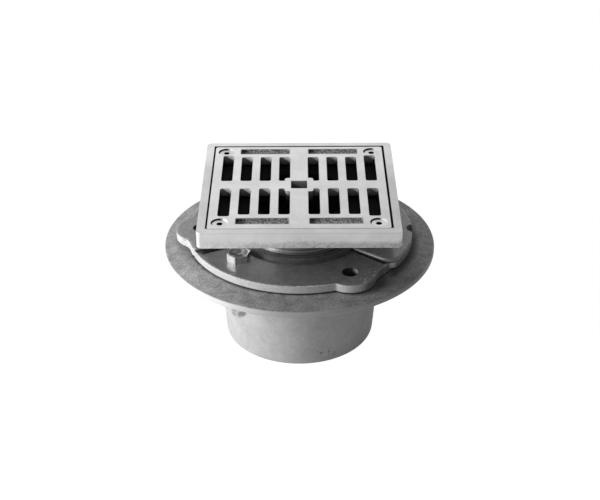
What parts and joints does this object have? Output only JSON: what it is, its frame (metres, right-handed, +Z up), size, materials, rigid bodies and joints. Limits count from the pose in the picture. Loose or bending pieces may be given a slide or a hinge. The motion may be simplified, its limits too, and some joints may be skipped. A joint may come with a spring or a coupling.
{
  "type": "shower drain",
  "caption": "Cast iron shower drain with a round flange, a membrane clamp, a bottom outlet socket and a square slotted strainer head that adjusts in height.",
  "frame": {"origin": "centre of the outlet hub's bottom face", "axes": "+Z up through the grate, -Y towards the front, +X to the right"},
  "size_m": [0.216, 0.2158, 0.1302],
  "materials": {
    "drain_body": "sand cast iron with a thin grey coat",
    "flashing_clamp": "sand cast iron with dark glossy coating",
    "clamp_bolt": "bright zinc plate",
    "strainer_head": "satin nickel bronze, ground on top and as cast at the sides",
    "grate": "satin nickel bronze, ground on top",
    "grate_screw": "satin stainless"
  },
  "bodies": {
    "drain": {"drain_body": "drain_body", "flashing_clamp": "flashing_clamp", "clamp_bolt_front": "clamp_bolt", "clamp_bolt_back": "clamp_bolt"},
    "head": {"strainer_head": "strainer_head", "grate": "grate", "grate_screw_front_left": "grate_screw", "grate_screw_front_right": "grate_screw", "grate_screw_back_left": "grate_screw", "grate_screw_back_right": "grate_screw"}
  },
  "joints": [
    {"name": "head_height", "type": "slide", "parent": "drain", "child": "head", "axis": [0, 0, 1], "range_m": [-0.021, 0.012]}
  ]
}
